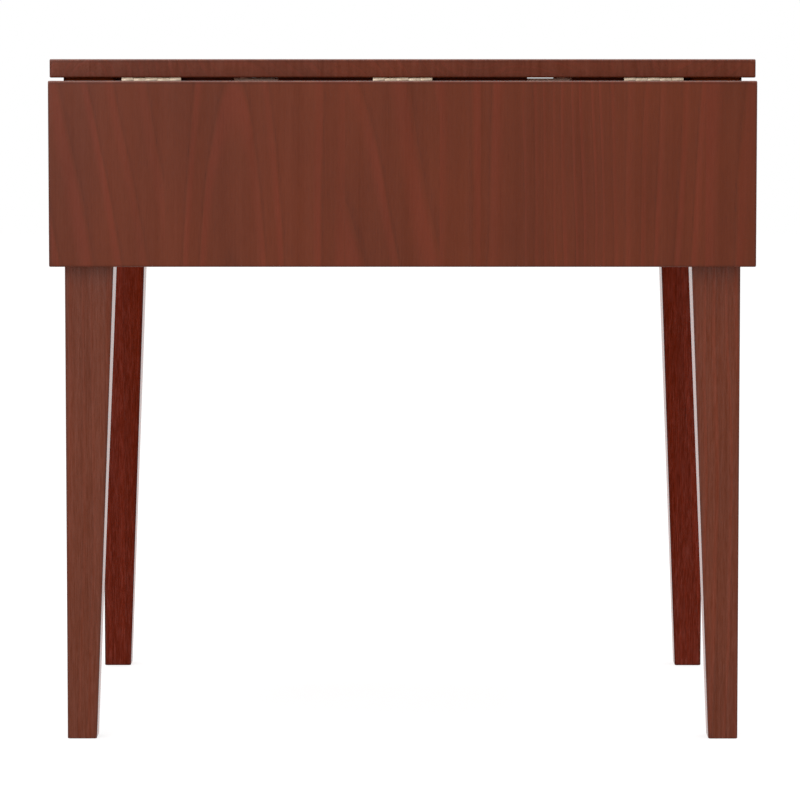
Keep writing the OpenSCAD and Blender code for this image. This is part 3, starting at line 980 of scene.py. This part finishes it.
@dataclass
class CornerJoints:
    """Corner blocks behind the legs, with their hanger bolts, washers, nuts and screws."""

    apron: tuple[float, float] = (338.6, 269.0)
    height: float = 671.5
    near: float = 49.515
    block: float = 22.0
    bolt_rise: float = 18.0
    bolt_radius: float = 4.0
    bolt_bite: float = 40.0
    bolt_out: float = 34.1
    thread: float = 1.25
    groove: float = 0.65
    thread_step: float = 0.2
    washer: tuple[float, float] = (10.0, 1.6)
    nut: tuple[float, float] = (13.0, 6.5)
    screw_rise: float = 28.0
    screw_seat: float = 8.0
    screw: Screw = Screw(4.0, 2.0, 20.0, rise=2.5)

    def bolt(self) -> Shape:
        """Turns a hanger bolt, with a machine thread where it shows.

        Returns:
            The bolt, its origin at the leg and its nut's end up.
        """
        def thread(radius: float, height: float, angle: float) -> tuple[float, float]:
            """Cuts the thread where the bolt shows."""
            deep = self.groove if height >= self.block and radius >= self.bolt_radius else 0.0
            return radius - deep * abs(2 * ((height / self.thread - angle / math.tau) % 1) - 1), height

        start = self.block - 2
        step = self.thread_step
        rings = [start + i * step for i in range(int((self.bolt_out - 0.8 - start) / step))]
        r = self.bolt_radius
        profile = [(0.3, -self.bolt_bite), (r, -self.bolt_bite + 6), *((r, z) for z in rings),
                   (r - 0.7, self.bolt_out), (0.1, self.bolt_out)]
        return Shape.turned(profile, 32, thread)

    def nut_shape(self) -> Shape:
        """Makes a hexagonal nut with turned corners.

        Returns:
            The nut, its lower face at 0.
        """
        flats, height = self.nut

        def hexagon(radius: float, z: float, angle: float) -> tuple[float, float]:
            """Gives a ring its six flats and turns its corners down.

            Args:
                radius: Radius of a point, in mm.
                z: Its height, in mm.
                angle: Its angle.

            Returns:
                Its new radius and height.
            """
            if radius <= flats / 2 - 0.3:
                return radius, z
            edge = flats / 2 / math.cos((angle % (math.pi / 3)) - math.pi / 6)
            drop = (edge - flats / 2) * 0.6
            return edge, z - drop if z > height / 2 else z + drop

        bore = self.bolt_radius + 0.05
        profile = [(bore, 0.0), (flats / 2 - 0.3, 0.0), (flats / 2, 0.05), (flats / 2, height - 0.05),
                   (flats / 2 - 0.3, height), (bore + 0.7, height), (bore, height - 0.7)]
        return Shape.turned(profile, 72, hexagon)

    def washer_shape(self) -> Shape:
        """Turns a stamped washer, its upper edge rounded by the punch.

        Returns:
            The washer, its lower face at 0.
        """
        r, t = self.washer
        bore = self.bolt_radius + 0.5
        profile = [(bore, 0.0), (r, 0.0), (r, t - 0.35), (r - 0.1, t - 0.1), (r - 0.35, t),
                   (bore + 0.1, t), (bore, t - 0.1)]
        return Shape.turned(profile, 48)

    def build(self, wood: Material, zinc: Material) -> Iterator[Object]:
        """Builds the four joints.

        Args:
            wood: Finish of the blocks.
            zinc: Finish of the fasteners.

        Yields:
            Each piece.
        """
        slant = self.near / 2
        middle = self.near + self.block / math.sqrt(2)
        bolts, screws = [], []
        for end, side in CORNERS:
            yield dress(f"corner_block_{side.name}_{end.name}".lower(), wood)
            x, y = end.value, side.value
            inward = Vector((-x, -y, 0)).normalized()
            for up in (-1, 1):
                bolts.append((Vector((x * (self.apron[0] - slant), y * (self.apron[1] - slant),
                                      self.height + up * self.bolt_rise)), inward))
                level = self.height + up * self.screw_rise
                for in_x, in_y, way in ((middle, self.screw_seat, (0, y, 0)),
                                        (self.screw_seat, middle, (x, 0, 0))):
                    screws.append(standing((x * (self.apron[0] - in_x), y * (self.apron[1] - in_y),
                                            level), way))
        for shape, rise, name, node in (
                (self.bolt(), 0.0, "hanger_bolt_threads", "hanger_bolts"),
                (self.washer_shape(), self.block, "stamped_washers", "bolt_washers"),
                (self.nut_shape(), self.block + self.washer[1], "turned_nuts", "bolt_nuts")):
            places = [standing(point + direction * rise, direction) for point, direction in bolts]
            yield seat(shape.piece(name, zinc, places), node)
        yield seat(self.screw.shape().piece("block_cross_screws", zinc, screws), "block_screws")


@dataclass
class TopScrews:
    """Slanting screws that pull the top down on the aprons."""

    middle: tuple[float, float] = (348.6, 279.0)
    underside: float = 721.5
    slant: float = 15.0
    seat_depth: float = 22.0
    end_places: tuple[float, ...] = (-225.0, -70.0, 70.0, 225.0)
    side_places: tuple[float, ...] = (-110.0, 110.0)
    screw: Screw = Screw(4.0, 2.0, 34.0, rise=2.5)

    def build(self, zinc: Material) -> Iterator[Object]:
        """Makes the screws.

        Args:
            zinc: Their finish.

        Yields:
            All the screws as one piece.
        """
        lean, up = math.sin(math.radians(self.slant)), math.cos(math.radians(self.slant))
        seats = [((x, side.value * self.middle[1]), (0, side.value * lean, up))
                 for side in Side for x in self.end_places]
        seats += [((end.value * self.middle[0], y), (end.value * lean, 0, up))
                  for end in End for y in self.side_places]
        places = [standing(Vector((*point, self.underside)) - Vector(way) * self.seat_depth, way)
                  for point, way in seats]
        yield seat(self.screw.shape().piece("slanting_cross_screws", zinc, places), "top_screws")


@dataclass
class Supports:
    """Pull-out supports, with the pegs that stop them and the guides that carry them."""

    middle: float = 159.4
    guide_y: float = 125.0
    screw_x: float = 30.0
    screw_z: float = 700.2
    screw: Screw = Screw(4.0, 2.0, 33.3, rise=2.5)

    def build(self, wood: Material, cross: Material, zinc: Material) -> Iterator[Object]:
        """Dresses the supports, pegs and guides, and makes the guides' screws.

        Args:
            wood: Finish of the supports and the pegs.
            cross: Finish of the guides, whose grain runs across.
            zinc: Finish of the screws.

        Yields:
            Each piece.
        """
        places = []
        for end, side in CORNERS:
            for kind, finish in (("support", wood), ("peg", wood), ("guide", cross)):
                yield dress(f"{kind}_{side.name}_{end.name}".lower(), finish)
            places += [standing((end.value * (self.middle + dx), side.value * self.guide_y, self.screw_z),
                                (0, 0, 1)) for dx in (-self.screw_x, self.screw_x)]
        yield seat(self.screw.shape().piece("guide_cross_screws", zinc, places), "guide_screws")


# Studio


@dataclass(frozen=True)
class Lamp:
    """Soft rectangular lamp.

    Attributes:
        name: Its name.
        place: Where it hangs, in metres.
        size: Its two sides, in metres.
        power: Its power, in watts.
    """

    name: str
    place: tuple[float, float, float]
    size: tuple[float, float]
    power: float

    def build(self, aim: Vector) -> None:
        """Hangs the lamp.

        Args:
            aim: Point that it faces, in metres.
        """
        data = bpy.data.lights.new(self.name, "AREA")
        data.shape, data.energy = "RECTANGLE", self.power
        data.size, data.size_y = self.size
        lamp = put(self.name, data)
        lamp.location = self.place
        lamp.rotation_euler = (aim - Vector(self.place)).to_track_quat("-Z", "Y").to_euler()


@dataclass
class Studio:
    """White surroundings, a soft light from the front and one from above, and the camera.

    The camera's place comes from the photograph's perspective. Lengths are in metres, but for the
    camera's own.
    """

    eye: tuple[float, float, float] = (0.0024, -4.754, 0.7237)
    tilt: float = 0.07875
    turn: float = 0.00116
    focal: float = 184.97
    sensor: float = 36.0
    far: float = 100.0
    ambient: float = 0.74
    aim: tuple[float, float, float] = (0.0, 0.0, 0.45)
    lamps: tuple[Lamp, ...] = (Lamp("front window", (-1.7, -3.6, 1.7), (2.4, 2.4), 45.0),
                               Lamp("overhead", (0.0, 0.2, 3.0), (2.6, 2.6), 30.0))
    floor_half: float = 14.0
    floor_drop: float = 0.0001
    floor_glow: float = 0.8

    def camera(self) -> None:
        """Makes the camera."""
        data = bpy.data.cameras.new("photograph")
        data.lens, data.sensor_width, data.sensor_fit = self.focal, self.sensor, "HORIZONTAL"
        data.clip_end = self.far
        camera = put("photograph", data)
        camera.location = self.eye
        camera.rotation_euler = (math.pi / 2 - self.tilt, 0.0, self.turn)
        bpy.context.scene.camera = camera

    def surroundings(self) -> None:
        """Makes the world: white to look at and in reflections, softer as light."""
        world = bpy.data.worlds.new("white room")
        bpy.context.scene.world = world
        add = Graph(world).add
        path = add("LightPath").outputs
        seen = path["Is Camera Ray"]
        for ray in ("Is Glossy Ray", "Is Transmission Ray"):
            seen = add("Math", {0: seen, 1: path[ray]}, operation="MAXIMUM")
        strength = add("MapRange", {"Value": seen, "To Min": self.ambient, "To Max": 1.0})
        room = add("Background", {"Color": linear("#ffffff"), "Strength": strength})
        add("OutputWorld", {"Surface": room})

    def floor(self) -> None:
        """Makes the pale floor: white with the table's shadow, and clear from below."""
        material = bpy.data.materials.new("matt white floor")
        add = Graph(material).add
        path = add("LightPath").outputs
        plain, shade = (add("BsdfDiffuse", {"Color": linear(colour)}) for colour in ("#ebebeb", "#a0a0a0"))
        glow, white = (add("Emission", {"Color": linear("#ffffff"), "Strength": strength})
                       for strength in (self.floor_glow, 1.0))
        # The camera sees a glow near white with the shadow in it, and the table is lit by a plain floor
        seen = add("AddShader", {0: shade, 1: glow})
        lit = add("MixShader", {0: path["Is Camera Ray"], 1: plain, 2: seen})
        above = add("MixShader", {0: path["Is Glossy Ray"], 1: lit, 2: white})
        under = add("NewGeometry").outputs["Backfacing"]
        surface = add("MixShader", {0: under, 1: above, 2: add("BsdfTransparent")})
        add("OutputMaterial", {"Surface": surface})
        mesh = bpy.data.meshes.new("floor")
        half, corners = self.floor_half, ((-1, -1), (1, -1), (1, 1), (-1, 1))
        mesh.from_pydata([(x * half, y * half, -self.floor_drop) for x, y in corners], [], [(0, 1, 2, 3)])
        mesh.materials.append(material)
        put("floor", mesh)

    def build(self) -> None:
        """Builds the studio."""
        self.camera()
        self.surroundings()
        self.floor()
        for lamp in self.lamps:
            lamp.build(Vector(self.aim))
        bpy.context.scene.view_settings.view_transform = "Standard"


# Boards of the front leaf, laid out so that its arches and straight stretches lie as photographed: for
# each its width, pith, depth, slope, ring, lean, shift and tone
FRONT_LEAF_BOARDS = [
    Board(125, -190, 40, 0.0, 32, -0.2, 0.3),
    Board(136, 14, 24, 0.12, 22, 0.0, 0.7),
    Board(58, -80, 60, 0.02, 27, 0.05, 0.5),
    Board(102, -60, 45, 0.12, 34, -0.12, 0.2),
    Board(44, 60, 60, 0.0, 36, 0.0, 0.4),
    Board(45, 50, 40, 0.04, 34, 0.03, 0.5),
    Board(106, 130, 30, 0.0, 10, 0.0, 0.0),
    Board(91, 90, 50, 0.03, 17, 0.02, 0.6),
    Board(55, 60, 50, 0.05, 30, 0.0, 0.2, -0.05),
]


def main() -> None:
    """Builds the table and its studio, and reports each piece."""
    # Beech with a red-brown stain, wiped on, under sprayed satin lacquer: soft streaks, a low broad gloss
    stain = {"early": "#62270d", "late": "#6a2912", "pore": "#3c1407", "worn": "#84482c"}
    boards = Wood("stained boards, lacquered", Grain.DEPTH, **stain).build()
    leaf = Wood("stained boards upright, lacquered", Grain.HEIGHT, **stain).build()
    apron_side = Wood("stained side apron, lacquered", Grain.SIDE, boards=False, **stain).build()
    # The legs took more stain and lacquer in their coarser fibres, which show as fine pale and dark lines
    leg = Wood("stained leg, lacquered", Grain.HEIGHT, early="#65290e", late="#6d2b10", pore="#40170a",
               worn="#864c30", specular=0.18, coat=0.18, streak=1.3, depth=0.08, pooling=1.9,
               open_share=0.5).build()
    # Where the spray hardly reached, the stain lies nearly bare under a thin, smoother lacquer; the deeper,
    # redder colour of these faces is painted shade, for the light that they reflect less than the outer
    # faces
    leg_inside_thin_lacquer_and_shade = Wood("stained leg inside, thin lacquer", Grain.HEIGHT, early="#68200e", late="#6f220f",
                      pore="#3a0f07", worn="#80422a", specular=0.03, coat=0.09, roughness=0.09, streak=1.3,
                      depth=0.18, pooling=1.0, open_share=1.0, glow=0.25, relief=0.2).build()
    # The front and back aprons are stained darker than the side ones: painted shade for the gap behind the
    # leaves, under a thin lacquer
    apron_end_painted_shade = Wood("stained apron, thin lacquer", Grain.WIDTH, early="#581f0a", late="#60200b",
                     pore="#361206", worn="#7a4028", specular=0.04, coat=0.0, pooling=0.0,
                     boards=False).build()
    # Planed beech without a finish, inside the frame: pale, pinkish and dull
    inner = {"early": "#cc9f8a", "late": "#b18773", "pore": "#7d5a4a", "worn": "#d8bba6", "ring": 3.0,
             "depth": 0.05, "pooling": 0.0, "open_share": 1.0, "roughness": 0.55, "specular": 0.3,
             "coat": 0.0, "bead": 0.0, "boards": False}
    support = Wood("planed beech supports", Grain.DEPTH, **inner).build()
    block = Wood("planed beech blocks", Grain.WIDTH, **inner).build()
    # Rolled flaps with a thin wash of brass, and bright zinc on what is turned: drawn lines, dull patches
    brass = PlatedSteel("brass-washed rolled steel", "#b5a591", "#98846c", roughness=0.34).build()
    zinc = PlatedSteel("zinc-plated steel", "#c3c7c9", "#8f9396", roughness=0.36).build()

    pick = random.Random(5)
    legs = [Leg(end, side, Board(60, pick.choice((-1, 1)) * pick.uniform(70, 130), pick.uniform(-60, 60),
                                 pick.uniform(-0.02, 0.02), pick.uniform(8, 14),
                                 pick.uniform(-0.015, 0.015), pick.random(), pick.uniform(-0.03, 0.03)))
            for end, side in CORNERS]
    groups: list[Iterator[Object]] = [
        Top().build(boards),
        Leaf(Side.FRONT, FRONT_LEAF_BOARDS).build(leaf),
        Leaf(Side.BACK, sawn_boards(762.0, 92.0, 23)).build(leaf),
        *(each.build(leg, leg_inside_thin_lacquer_and_shade) for each in legs),
        Aprons().build(apron_end_painted_shade, apron_side),
        Hinge().build(brass),
        CornerJoints().build(block, zinc),
        TopScrews().build(zinc),
        Supports().build(support, block, zinc),
    ]
    for group in groups:
        for piece in group:
            LOG.info("%s: %d faces", piece.name, len(piece.data.polygons))
    Studio().build()


if __name__ == "__main__":
    logging.basicConfig(level=logging.INFO, format="%(name)s: %(message)s")
    main()
